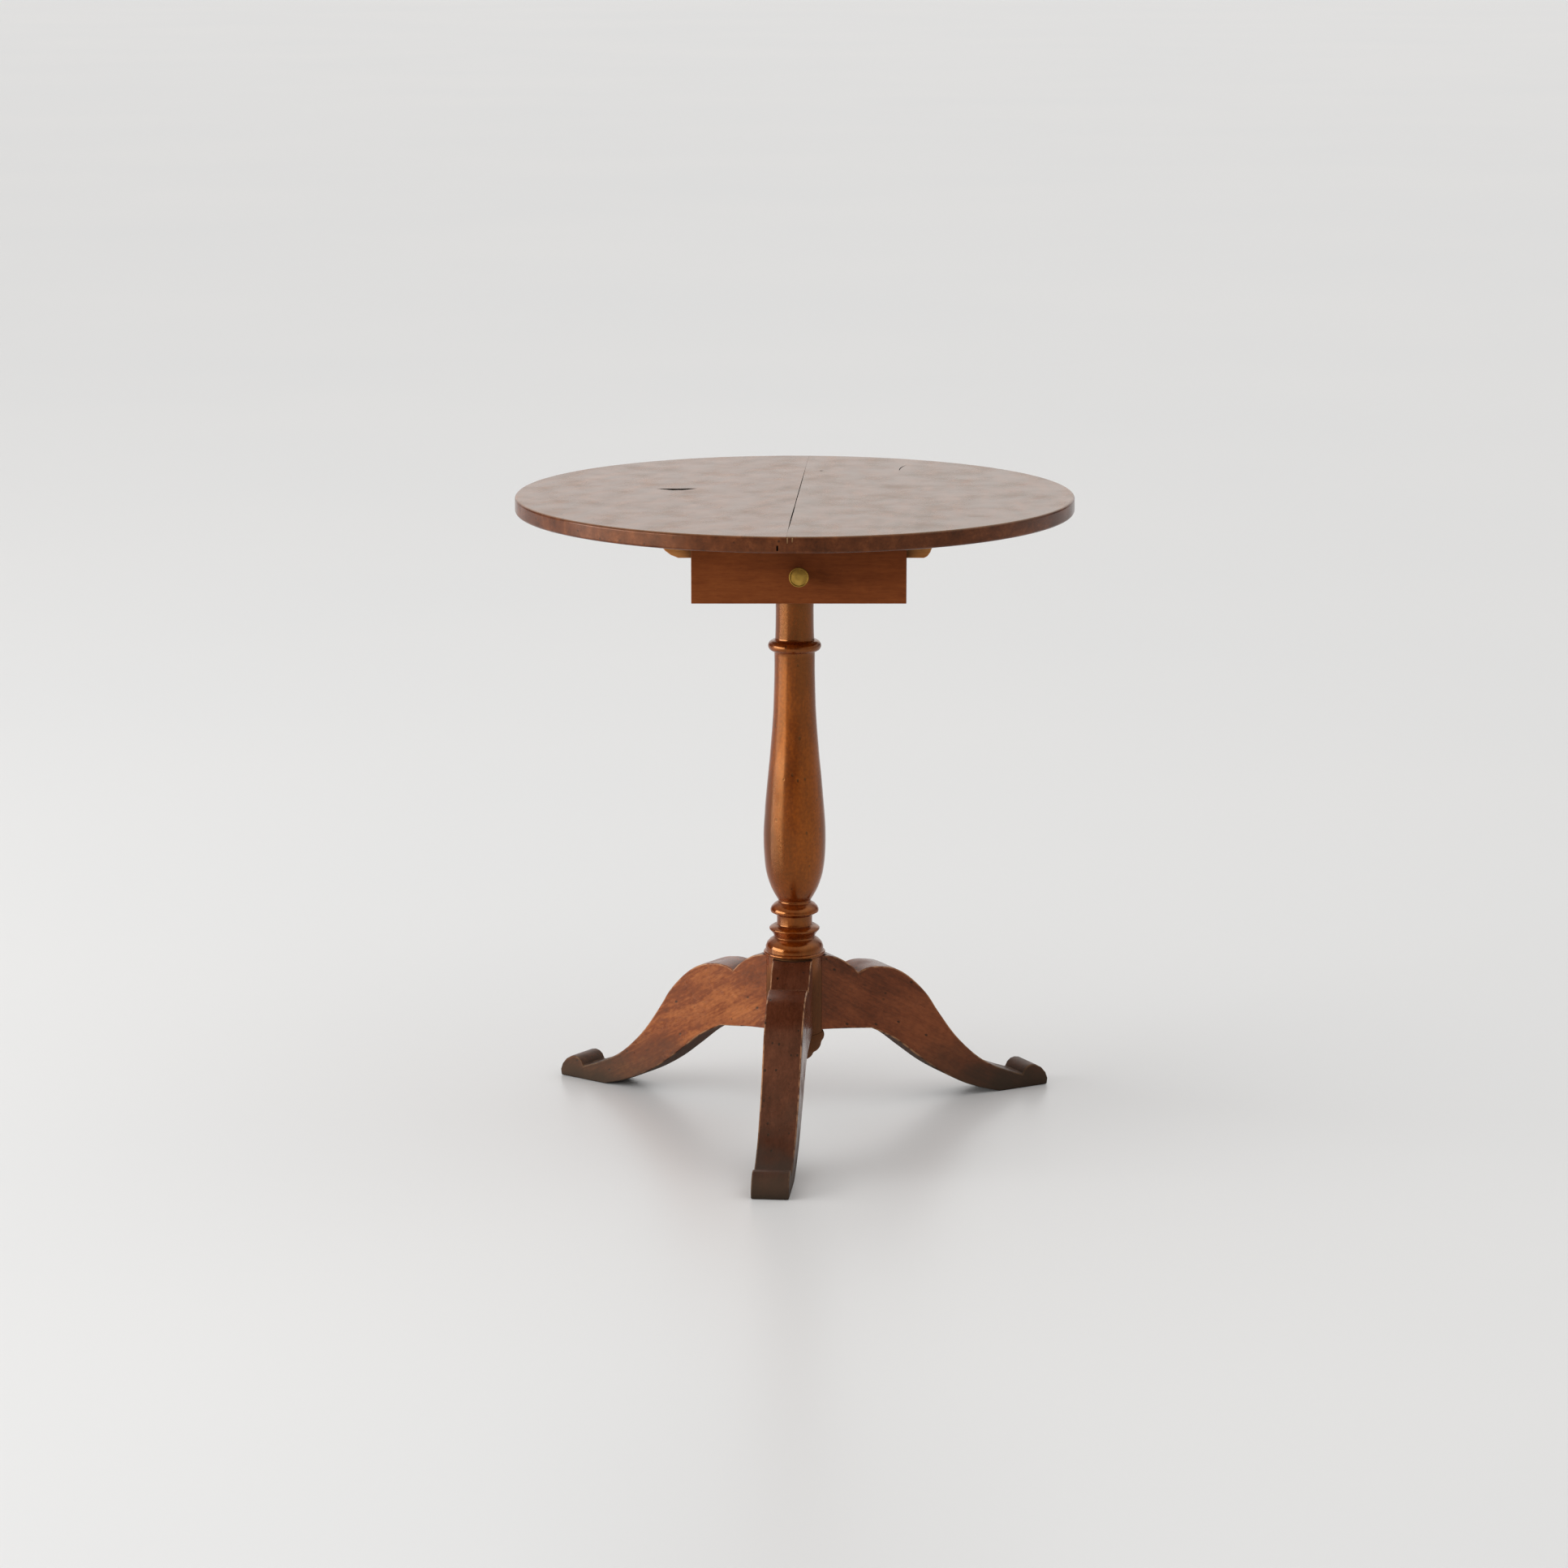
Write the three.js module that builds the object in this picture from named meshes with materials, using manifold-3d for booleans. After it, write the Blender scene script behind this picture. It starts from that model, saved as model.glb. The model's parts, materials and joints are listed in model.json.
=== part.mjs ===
// Tilt-top pedestal table with a drawer. Millimetres, +Z up.
// The origin is on the floor, on the axis of the turned column. -Y is the drawer side.
// The round top hinges about a line parallel to Y near its +X side, and its -X side lifts.
import * as THREE from 'three';
import { mergeVertices } from 'three/addons/utils/BufferGeometryUtils.js';
import Module from 'manifold-3d';

const wasm = await Module();
wasm.setup();

// ---- Driving dimensions ----
const HEIGHT = 740;
const GAP = 0.3; // between pieces that touch
const TURN_SEGMENTS = 28;
const CURVE_STEPS = 4; // along each curve of a profile or an outline

// Round top, two boards jointed along a line that runs almost front to back.
// Old boards shrink across the grain, so it is a little narrower than it is long.
const TOP_RADIUS_X = 320.2;
const TOP_RADIUS_Y = 325;
const TOP_THICK = 18.3;
const TOP_EDGE_ROUND = 3;
const TOP_SEGMENTS = 80;
const JOINT_OFFSET_X = 4;
const JOINT_ANGLE = THREE.MathUtils.degToRad(-2.5);
const JOINT_GAP = 0.8;

// Two battens across the boards; the tilt pivot runs through both, parallel to Y.
const BATTEN_THICK = 23;
const BATTEN_OUTER_Y = 207.5;
const BATTEN_INNER_Y = 170;
const BATTEN_LEFT_X = -152;
const BATTEN_RIGHT_X = 154;
const PIVOT_X = 112;
const PIN_RADIUS = 5;
const PIN_INNER_Y = 140;
const PIN_SEGMENTS = 16;

// Tilt block: the fixed board that the top rests on, rounded about the pivot.
const BLOCK_THICK = 22.4;
const BLOCK_LEFT_X = -118;
const BLOCK_HALF_Y = 167;

// Drawer case and drawer; both are centred a little to the right of the column.
const DRAWER_CENTRE_X = 4;
const CASE_SIDE_THICK = 12;
const CASE_FRONT_Y = -160;
const CASE_BACK_Y = 166;
const CASE_BOTTOM_THICK = 9.5;
const CASE_BOTTOM_FRONT_Y = -150;
const CASE_FLOOR_Z = 648.5;
const DRAWER_CLEARANCE = 0.5;
const DRAWER_HALF_WIDTH = 92;
const DRAWER_SIDE_THICK = 9;
const DRAWER_SIDE_HEIGHT = 47;
const DRAWER_BACK_THICK = 11;
const DRAWER_BACK_HEIGHT = 35;
const DRAWER_BOTTOM_THICK = 5;
const DRAWER_BOTTOM_RAISE = 1;
const FRONT_WIDTH = 237;
const FRONT_THICK = 18;
const FRONT_BACK_Y = -208;
const FRONT_BOTTOM_Z = 650.5;
const FRONT_TOP_Z = 712;

// Brass knob on the drawer front.
const KNOB_Z = 682.5;
const KNOB_RADIUS = 11;
const KNOB_STEM_RADIUS = 3;
const KNOB_NUT_RADIUS = 6;
const KNOB_NUT_THICK = 4;
const KNOB_SEGMENTS = 20;

// Turn-button that locks the top to the tilt block.
const LATCH_X = -133;
const LATCH_THICK = 11;
const LATCH_HALF_LENGTH = 29;
const LATCH_HALF_WIDTH = 8;

// Column, its tenon and the plate that carries the case.
const CAP_BOTTOM_Z = 622;
const CAP_SIZE_X = 110;
const CAP_SIZE_Y = 100;
const TENON_RADIUS = 14;
const WEDGE_THICK = 3;
const WEDGE_DEPTH = 15;
const HUB_RADIUS = 33;
const HUB_BOTTOM_Z = 105;
const HUB_TOP_Z = 197.3;

// Legs, dovetailed into the hub from below, not quite 120 degrees apart.
const LEG_ANGLES = { front: -94.8, right: 27.9, left: 144.1 };
const LEG_THICK_AT_HUB = 46;
const LEG_THICK_AT_TOE = 42.6;
const LEG_REACH = 336;
const DOVETAIL_NARROW = 18;
const DOVETAIL_WIDE = 25;
const DOVETAIL_ROOT_RADIUS = 20;
const DOVETAIL_BOTTOM_Z = 108;
const DOVETAIL_TOP_Z = 184;

// Wood screws, countersunk.
const SCREW_HEAD_RADIUS = 4.2;
const SCREW_HEAD_DEPTH = 3.5;
const SCREW_SHANK_RADIUS = 1.9;
const SCREW_TIP_LENGTH = 5;
const SCREW_SEGMENTS = 10;

// ---- Levels worked out from the driving dimensions ----
const TOP_UNDER_Z = HEIGHT - TOP_THICK;
const BATTEN_TOP_Z = TOP_UNDER_Z - GAP;
const BATTEN_BOTTOM_Z = BATTEN_TOP_Z - BATTEN_THICK;
const BLOCK_TOP_Z = TOP_UNDER_Z - GAP;
const BLOCK_BOTTOM_Z = BLOCK_TOP_Z - BLOCK_THICK;
const PIVOT_Z = (BLOCK_TOP_Z + BLOCK_BOTTOM_Z) / 2;
const CASE_BOTTOM_Z = CASE_FLOOR_Z - CASE_BOTTOM_THICK;
const CASE_HALF_INSIDE = DRAWER_HALF_WIDTH + DRAWER_CLEARANCE;
const CASE_HALF_OUTSIDE = CASE_HALF_INSIDE + CASE_SIDE_THICK;
const CASE_SIDE_BOTTOM_Z = CASE_FLOOR_Z + GAP;
const CASE_SIDE_TOP_Z = BLOCK_BOTTOM_Z - GAP;
const CASE_STOP_Y = CASE_BACK_Y - CASE_SIDE_THICK;
const CAP_TOP_Z = CASE_BOTTOM_Z - GAP;
const COLUMN_SHOULDER_Z = CAP_BOTTOM_Z - GAP;
const DRAWER_BOTTOM_Z = CASE_FLOOR_Z + DRAWER_CLEARANCE;
const DRAWER_SIDE_FRONT_Y = FRONT_BACK_Y + GAP;
const DRAWER_END_Y = CASE_STOP_Y - GAP;
const LATCH_TOP_Z = BLOCK_BOTTOM_Z - 2 * GAP;

// ---- Finishes ----
const FINISHES = {
  top_wood: { color: 0x6f4a35, roughness: 0.42, metalness: 0 },
  column_wood: { color: 0x8a4a1e, roughness: 0.38, metalness: 0 },
  leg_wood: { color: 0x5c2f1c, roughness: 0.45, metalness: 0 },
  drawer_wood: { color: 0x6a351f, roughness: 0.5, metalness: 0 },
  batten_wood: { color: 0xa06a3c, roughness: 0.6, metalness: 0 },
  case_wood: { color: 0x9a7a52, roughness: 0.7, metalness: 0 },
  brass: { color: 0xa08a45, roughness: 0.4, metalness: 1 },
  iron: { color: 0x3a3634, roughness: 0.55, metalness: 1 },
};

const table = new THREE.Group();

// ---- Helpers ----

// A closed geometry as a solid that can be cut and joined.
function solid(geometry) {
  const bare = geometry.clone();
  bare.deleteAttribute('normal');
  bare.deleteAttribute('uv');
  const merged = mergeVertices(bare, 1e-3);
  const vertProperties = merged.attributes.position.array;
  const triVerts = merged.index.array;
  return new wasm.Manifold(new wasm.Mesh({ numProp: 3, vertProperties, triVerts }));
}

function geometryOf(shape) {
  const mesh = shape.getMesh();
  const geometry = new THREE.BufferGeometry();
  geometry.setAttribute('position', new THREE.BufferAttribute(mesh.vertProperties, 3));
  geometry.setIndex(new THREE.BufferAttribute(mesh.triVerts, 1));
  return geometry;
}

// The body with every tool taken away from it.
function cut(body, tools) {
  return geometryOf(tools.reduce((rest, tool) => rest.subtract(solid(tool)), solid(body)));
}

function join(body, addition) {
  return geometryOf(solid(body).add(solid(addition)));
}

function common(body, limit) {
  return geometryOf(solid(body).intersect(solid(limit)));
}

function addPart(name, geometry, finish) {
  const faceted = geometry.index ? geometry.toNonIndexed() : geometry;
  faceted.computeVertexNormals();
  const mesh = new THREE.Mesh(faceted, new THREE.MeshStandardMaterial(FINISHES[finish]));
  mesh.name = name;
  table.add(mesh);
}

// A rectangular board between two opposite corners.
function board([x0, y0, z0], [x1, y1, z1]) {
  const geometry = new THREE.BoxGeometry(x1 - x0, y1 - y0, z1 - z0);
  return geometry.translate((x0 + x1) / 2, (y0 + y1) / 2, (z0 + z1) / 2);
}

// A solid of revolution about Z; the path holds radius and height, from the bottom up.
function turned(path, segments = TURN_SEGMENTS) {
  return new THREE.LatheGeometry(path.getPoints(CURVE_STEPS), segments).rotateX(Math.PI / 2);
}

// An upright outline of x and z, extruded along Y between two places.
function extrudedAlongY(outline, y0, y1) {
  const options = { depth: y1 - y0, bevelEnabled: false, curveSegments: CURVE_STEPS };
  return new THREE.ExtrudeGeometry(outline, options).rotateX(Math.PI / 2).translate(0, y1, 0);
}

// A flat outline of x and y, extruded upwards between two levels.
function extrudedUp(outline, z0, z1) {
  const options = { depth: z1 - z0, bevelEnabled: false, curveSegments: CURVE_STEPS };
  return new THREE.ExtrudeGeometry(outline, options).translate(0, 0, z0);
}

function rod(radius, length, segments) {
  return new THREE.CylinderGeometry(radius, radius, length, segments);
}

function upright(radius, z0, z1, segments = TURN_SEGMENTS) {
  return rod(radius, z1 - z0, segments).rotateX(Math.PI / 2).translate(0, 0, (z0 + z1) / 2);
}

function points(...pairs) {
  return pairs.map(([x, y]) => new THREE.Vector2(x, y));
}

// ---- Wood screws ----

// A countersunk screw whose head is flush at the origin and whose tip points up.
// With slack it is the hole that the screw sits in, open past the head.
function screwShape(length, slack = 0) {
  const path = new THREE.Path();
  const mouth = slack > 0 ? -1 : 0;
  path.moveTo(0, mouth);
  path.lineTo(SCREW_HEAD_RADIUS + slack, mouth);
  path.lineTo(SCREW_HEAD_RADIUS + slack, 0.4);
  path.lineTo(SCREW_SHANK_RADIUS + slack, SCREW_HEAD_DEPTH + slack);
  path.lineTo(SCREW_SHANK_RADIUS + slack, length - SCREW_TIP_LENGTH);
  path.lineTo(0, length + slack);
  return turned(path, SCREW_SEGMENTS);
}

// Every screw: where its head lies, how long it is and which way it points.
function screwRow(name, length, pointsDown, places) {
  return places.map(([x, y, z], i) => ({ name: `${name}_${i + 1}`, length, pointsDown, x, y, z }));
}

function placed(geometry, screw) {
  const turnedOver = screw.pointsDown ? geometry.rotateX(Math.PI) : geometry;
  return turnedOver.translate(screw.x, screw.y, screw.z);
}

function screwHoles(screws) {
  return screws.map((screw) => placed(screwShape(screw.length, GAP), screw));
}

function addScrews(screws) {
  for (const screw of screws) {
    addPart(screw.name, placed(screwShape(screw.length), screw), 'iron');
  }
}

const caseWallX = CASE_HALF_INSIDE + CASE_SIDE_THICK / 2;
const caseCorners = (y, z) => [-1, 1].flatMap((side) => [-y, y].map(
  (along) => [DRAWER_CENTRE_X + side * caseWallX, along, z]));
const battenMiddleY = (BATTEN_OUTER_Y + BATTEN_INNER_Y) / 2;
const battenScrewPlaces = [-battenMiddleY, battenMiddleY].flatMap(
  (y) => [-118, -45, 55, 136].map((x) => [x, y, BATTEN_BOTTOM_Z]));

const SCREWS = {
  cap: screwRow('cap_screw', 24, false, [-1, 1].flatMap(
    (side) => [-36, 36].map((y) => [side * 42, y, CAP_BOTTOM_Z]))),
  case: screwRow('case_screw', 32, false, caseCorners(105, CASE_BOTTOM_Z)),
  block: screwRow('block_screw', 42, true, caseCorners(125, BLOCK_TOP_Z)),
  batten: screwRow('batten_screw', 34, false, battenScrewPlaces),
  latch: screwRow('latch_screw', 42, false, [[LATCH_X, 0, LATCH_TOP_Z - LATCH_THICK]]),
};

// ---- Column and finial ----

// The turned profile: hub, ring and dome, flare, disc, long vase, collar and tenon.
function columnPath() {
  const path = new THREE.Path();
  path.moveTo(0, HUB_BOTTOM_Z);
  path.lineTo(HUB_RADIUS, HUB_BOTTOM_Z);
  path.lineTo(HUB_RADIUS, HUB_TOP_Z);
  path.absarc(HUB_RADIUS + 0.6, HUB_TOP_Z + 2.5, 2.5, -Math.PI / 2, Math.PI / 2, false);
  path.bezierCurveTo(34.8, 209, 31.3, 214.5, 24.5, 217.4);
  path.lineTo(23.5, 218.6);
  path.quadraticCurveTo(25, 223.5, 29.4, 227.4);
  path.lineTo(29.6, 229.2);
  path.quadraticCurveTo(25.8, 232.4, 21.1, 233.4);
  path.quadraticCurveTo(20.2, 239, 21.1, 245);
  path.lineTo(28, 248.6);
  path.bezierCurveTo(29.4, 252, 26, 257.5, 19.4, 260.4);
  path.lineTo(19, 262.6);
  path.splineThru(points([28, 279.5], [34.3, 303], [36.2, 338], [34.3, 375], [28.6, 436.5],
    [25.1, 482], [23.5, 530], [23.5, 556]));
  path.lineTo(24.5, 557.6);
  path.absarc(24.6, 563.8, 6.2, -Math.PI / 2, Math.PI / 2, false);
  path.quadraticCurveTo(22.6, 570.6, 22.5, 573.5);
  path.quadraticCurveTo(21.7, 590, 21.9, COLUMN_SHOULDER_Z);
  path.lineTo(TENON_RADIUS, COLUMN_SHOULDER_Z);
  path.lineTo(TENON_RADIUS, CAP_TOP_Z);
  path.lineTo(0, CAP_TOP_Z);
  return path;
}

// A dovetail seen from above, widest at its root inside the hub.
function dovetail(slack, z0, z1) {
  const outline = new THREE.Shape();
  const root = DOVETAIL_ROOT_RADIUS - slack;
  const outside = HUB_RADIUS + 2;
  const wide = DOVETAIL_WIDE / 2 + slack;
  const narrow = DOVETAIL_NARROW / 2 + slack;
  outline.moveTo(root, -wide);
  outline.lineTo(outside, -narrow);
  outline.lineTo(outside, narrow);
  outline.lineTo(root, wide);
  return extrudedUp(outline, z0, z1);
}

function turnedTo(geometry, degrees) {
  return geometry.rotateZ(THREE.MathUtils.degToRad(degrees));
}

const SPIGOT_RADIUS = 8;
const SPIGOT_TOP_Z = HUB_BOTTOM_Z + 20;

function addColumn() {
  const grooves = Object.values(LEG_ANGLES).map((angle) => turnedTo(
    dovetail(GAP, HUB_BOTTOM_Z - 1, DOVETAIL_TOP_Z + GAP), angle));
  const spigotBore = upright(SPIGOT_RADIUS + GAP, HUB_BOTTOM_Z - 1, SPIGOT_TOP_Z + GAP);
  const kerfHalf = WEDGE_THICK / 2 + GAP;
  const kerf = board([-kerfHalf, -TENON_RADIUS - 1, CAP_TOP_Z - WEDGE_DEPTH],
    [kerfHalf, TENON_RADIUS + 1, CAP_TOP_Z + 1]);
  addPart('column', cut(turned(columnPath()), [...grooves, spigotBore, kerf]), 'column_wood');

  const wedge = new THREE.Shape();
  wedge.moveTo(-WEDGE_THICK / 4, CAP_TOP_Z - WEDGE_DEPTH + GAP);
  wedge.lineTo(WEDGE_THICK / 4, CAP_TOP_Z - WEDGE_DEPTH + GAP);
  wedge.lineTo(WEDGE_THICK / 2, CAP_TOP_Z);
  wedge.lineTo(-WEDGE_THICK / 2, CAP_TOP_Z);
  addPart('tenon_wedge', extrudedAlongY(wedge, 3 - TENON_RADIUS, TENON_RADIUS - 3), 'batten_wood');
}

// A stepped pendant under the hub, held by its spigot.
function addFinial() {
  const path = new THREE.Path();
  const top = HUB_BOTTOM_Z - GAP;
  path.moveTo(0, 62);
  path.quadraticCurveTo(11, 62, 12.5, 68);
  path.lineTo(15.5, 71);
  path.quadraticCurveTo(21, 72.5, 22.5, 78.5);
  path.lineTo(25, 80.5);
  path.quadraticCurveTo(31, 83.5, 31.5, 90.5);
  path.lineTo(32.5, 93);
  path.quadraticCurveTo(37.5, 98.5, HUB_RADIUS + 0.5, top);
  path.lineTo(SPIGOT_RADIUS, top);
  path.lineTo(SPIGOT_RADIUS, SPIGOT_TOP_Z);
  path.lineTo(0, SPIGOT_TOP_Z);
  addPart('drop_finial', turned(path), 'column_wood');
}

// ---- Legs ----

// Side view of a leg: distance from the column's axis, and height.
function legOutline() {
  const outline = new THREE.Shape();
  const root = DOVETAIL_ROOT_RADIUS + 2;
  outline.moveTo(root, 108);
  outline.lineTo(62, 104);
  outline.lineTo(92, 100.5);
  outline.splineThru(points([122, 84.5], [150, 62.5], [180, 39.5], [212, 20.5], [240, 8.5],
    [268, 0]));
  outline.lineTo(LEG_REACH - 1, 0);
  outline.bezierCurveTo(LEG_REACH + 3, 9, LEG_REACH - 5, 22, LEG_REACH - 17, 26.4);
  outline.bezierCurveTo(312, 29, 303, 26.5, 300.3, 16.8);
  outline.splineThru(points([270, 28.5], [240, 45.5], [209, 74.5], [184, 107.5], [166, 134],
    [142, 157.8], [120, 170.7], [98, 175.2]));
  outline.quadraticCurveTo(83, 176.5, 73.5, 170.5);
  outline.bezierCurveTo(66, 180, 48, 194, 34, 195.8);
  outline.lineTo(root, 196.7);
  return outline;
}

// Thins a leg evenly from the hub to the toe.
function taper(geometry) {
  const position = geometry.attributes.position;
  for (let i = 0; i < position.count; i += 1) {
    const along = (position.getX(i) - HUB_RADIUS) / (LEG_REACH - HUB_RADIUS);
    const thick = THREE.MathUtils.lerp(LEG_THICK_AT_HUB, LEG_THICK_AT_TOE, along);
    position.setY(i, position.getY(i) * (thick / LEG_THICK_AT_HUB));
  }
  return geometry;
}

function addLegs() {
  const half = LEG_THICK_AT_HUB / 2;
  const blank = taper(extrudedAlongY(legOutline(), -half, half));
  const hub = upright(HUB_RADIUS + GAP, DOVETAIL_BOTTOM_Z - 20, HUB_TOP_Z + 20);
  for (const [side, angle] of Object.entries(LEG_ANGLES)) {
    const scribed = cut(blank, [turnedTo(hub.clone(), -angle)]);
    const leg = join(scribed, dovetail(0, DOVETAIL_BOTTOM_Z, DOVETAIL_TOP_Z));
    addPart(`leg_${side}`, turnedTo(leg, angle), 'leg_wood');
  }
}

// ---- Cap plate, drawer case and tilt block ----

function addCap() {
  const plate = board([-CAP_SIZE_X / 2, -CAP_SIZE_Y / 2, CAP_BOTTOM_Z],
    [CAP_SIZE_X / 2, CAP_SIZE_Y / 2, CAP_TOP_Z]);
  const mortise = upright(TENON_RADIUS + GAP, CAP_BOTTOM_Z - 1, CAP_TOP_Z + 1);
  addPart('cap_plate', cut(plate, [mortise, ...screwHoles(SCREWS.cap)]), 'case_wood');
}

function addCase() {
  const left = DRAWER_CENTRE_X - CASE_HALF_OUTSIDE;
  const right = DRAWER_CENTRE_X + CASE_HALF_OUTSIDE;
  const bottom = board([left, CASE_BOTTOM_FRONT_Y, CASE_BOTTOM_Z],
    [right, CASE_BACK_Y, CASE_FLOOR_Z]);
  const bottomHoles = screwHoles([...SCREWS.cap, ...SCREWS.case]);
  addPart('case_bottom', cut(bottom, bottomHoles), 'case_wood');

  const sideHoles = screwHoles([...SCREWS.case, ...SCREWS.block]);
  for (const [side, x] of [['left', left], ['right', right - CASE_SIDE_THICK]]) {
    const wall = board([x, CASE_FRONT_Y, CASE_SIDE_BOTTOM_Z],
      [x + CASE_SIDE_THICK, CASE_BACK_Y, CASE_SIDE_TOP_Z]);
    addPart(`case_side_${side}`, cut(wall, sideHoles), 'case_wood');
  }

  const inside = CASE_HALF_INSIDE - GAP;
  addPart('case_back', board([DRAWER_CENTRE_X - inside, CASE_STOP_Y, CASE_SIDE_BOTTOM_Z],
    [DRAWER_CENTRE_X + inside, CASE_BACK_Y, CASE_SIDE_TOP_Z]), 'case_wood');
}

function addTiltBlock() {
  const outline = new THREE.Shape();
  outline.moveTo(BLOCK_LEFT_X, BLOCK_BOTTOM_Z);
  outline.lineTo(PIVOT_X, BLOCK_BOTTOM_Z);
  outline.absarc(PIVOT_X, PIVOT_Z, BLOCK_THICK / 2, -Math.PI / 2, Math.PI / 2, false);
  outline.lineTo(BLOCK_LEFT_X, BLOCK_TOP_Z);
  const block = extrudedAlongY(outline, -BLOCK_HALF_Y, BLOCK_HALF_Y);
  addPart('tilt_block', cut(block, [...pinBores(), ...screwHoles(SCREWS.block)]), 'case_wood');
}

// ---- Pivot pins ----

function pin(side, radius, slack) {
  const length = BATTEN_OUTER_Y - GAP - PIN_INNER_Y + 2 * slack;
  const middle = (BATTEN_OUTER_Y - GAP + PIN_INNER_Y) / 2;
  return rod(radius, length, PIN_SEGMENTS).translate(PIVOT_X, side * middle, PIVOT_Z);
}

function pinBores() {
  return [-1, 1].map((side) => pin(side, PIN_RADIUS + GAP, 1));
}

function addPins() {
  addPart('pivot_pin_front', pin(-1, PIN_RADIUS, 0), 'iron');
  addPart('pivot_pin_rear', pin(1, PIN_RADIUS, 0), 'iron');
}

// ---- Top ----

function topDisc() {
  const path = new THREE.Path();
  const flat = TOP_RADIUS_X - TOP_EDGE_ROUND;
  path.moveTo(0, TOP_UNDER_Z);
  path.lineTo(flat, TOP_UNDER_Z);
  path.quadraticCurveTo(TOP_RADIUS_X, TOP_UNDER_Z, TOP_RADIUS_X, TOP_UNDER_Z + TOP_EDGE_ROUND);
  path.lineTo(TOP_RADIUS_X, HEIGHT - TOP_EDGE_ROUND);
  path.quadraticCurveTo(TOP_RADIUS_X, HEIGHT, flat, HEIGHT);
  path.lineTo(0, HEIGHT);
  return turned(path, TOP_SEGMENTS).scale(1, TOP_RADIUS_Y / TOP_RADIUS_X, 1);
}

function addTopBoards() {
  const disc = topDisc();
  const holes = screwHoles([...SCREWS.batten, ...SCREWS.latch]);
  const beyond = 2 * TOP_RADIUS_Y;
  for (const [side, x0, x1] of [['left', -beyond, -JOINT_GAP / 2], ['right', JOINT_GAP / 2, beyond]]) {
    const half = board([x0, -beyond, TOP_UNDER_Z - 1], [x1, beyond, HEIGHT + 1]);
    half.rotateZ(JOINT_ANGLE).translate(JOINT_OFFSET_X, 0, 0);
    addPart(`top_board_${side}`, cut(common(disc, half), holes), 'top_wood');
  }
}

// A batten seen from the front, with hand-shaped ends.
function battenOutline() {
  const outline = new THREE.Shape();
  outline.moveTo(BATTEN_LEFT_X, BATTEN_TOP_Z);
  outline.quadraticCurveTo(BATTEN_LEFT_X + 5, BATTEN_BOTTOM_Z + 5, BATTEN_LEFT_X + 23, BATTEN_BOTTOM_Z);
  outline.lineTo(BATTEN_RIGHT_X - 12, BATTEN_BOTTOM_Z);
  outline.quadraticCurveTo(BATTEN_RIGHT_X - 4, BATTEN_BOTTOM_Z + 1, BATTEN_RIGHT_X, BATTEN_TOP_Z);
  return outline;
}

function addBattens() {
  const holes = [...pinBores(), ...screwHoles(SCREWS.batten)];
  const front = extrudedAlongY(battenOutline(), -BATTEN_OUTER_Y, -BATTEN_INNER_Y);
  const rear = extrudedAlongY(battenOutline(), BATTEN_INNER_Y, BATTEN_OUTER_Y);
  addPart('batten_front', cut(front, holes), 'batten_wood');
  addPart('batten_rear', cut(rear, holes), 'batten_wood');
}

// ---- Latch ----

// An oblong with round ends, long along Y while it is unlocked.
function latchOutline(halfLength) {
  const outline = new THREE.Shape();
  const straight = halfLength - LATCH_HALF_WIDTH;
  outline.absarc(LATCH_X, straight, LATCH_HALF_WIDTH, 0, Math.PI, false);
  outline.absarc(LATCH_X, -straight, LATCH_HALF_WIDTH, Math.PI, 2 * Math.PI, false);
  return outline;
}

function addLatch() {
  const hole = screwHoles(SCREWS.latch);
  const button = extrudedUp(latchOutline(LATCH_HALF_LENGTH), LATCH_TOP_Z - LATCH_THICK, LATCH_TOP_Z);
  addPart('turn_button', cut(button, hole), 'batten_wood');
  const spacer = extrudedUp(latchOutline(LATCH_HALF_LENGTH / 2), LATCH_TOP_Z + GAP, BATTEN_TOP_Z);
  addPart('latch_spacer', cut(spacer, hole), 'batten_wood');
}

// ---- Drawer ----

// A waisted stem that opens to a shallow dome inside a raised rim.
function knobPath() {
  const face = FRONT_THICK + 18;
  const path = new THREE.Path();
  const nutEnd = -KNOB_NUT_THICK - 3;
  path.moveTo(0, nutEnd);
  path.lineTo(KNOB_STEM_RADIUS, nutEnd);
  path.lineTo(KNOB_STEM_RADIUS, FRONT_THICK + GAP);
  path.lineTo(6.5, FRONT_THICK + GAP);
  path.lineTo(6.5, FRONT_THICK + 1.6);
  path.quadraticCurveTo(3.8, FRONT_THICK + 4, 4.2, FRONT_THICK + 8);
  path.quadraticCurveTo(5, FRONT_THICK + 11, KNOB_RADIUS - 1.1, face - 3.4);
  path.absarc(KNOB_RADIUS - 1.1, face - 2.3, 1.1, -Math.PI / 2, Math.PI / 2, false);
  path.lineTo(KNOB_RADIUS - 1.7, face - 2.2);
  path.quadraticCurveTo(5, face - 0.7, 0, face - 0.5);
  return path;
}

// Lays a turned piece on its side, its foot towards the drawer and its head towards -Y.
function laidForward(geometry) {
  return geometry.rotateX(Math.PI / 2).translate(DRAWER_CENTRE_X, FRONT_BACK_Y, KNOB_Z);
}

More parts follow.
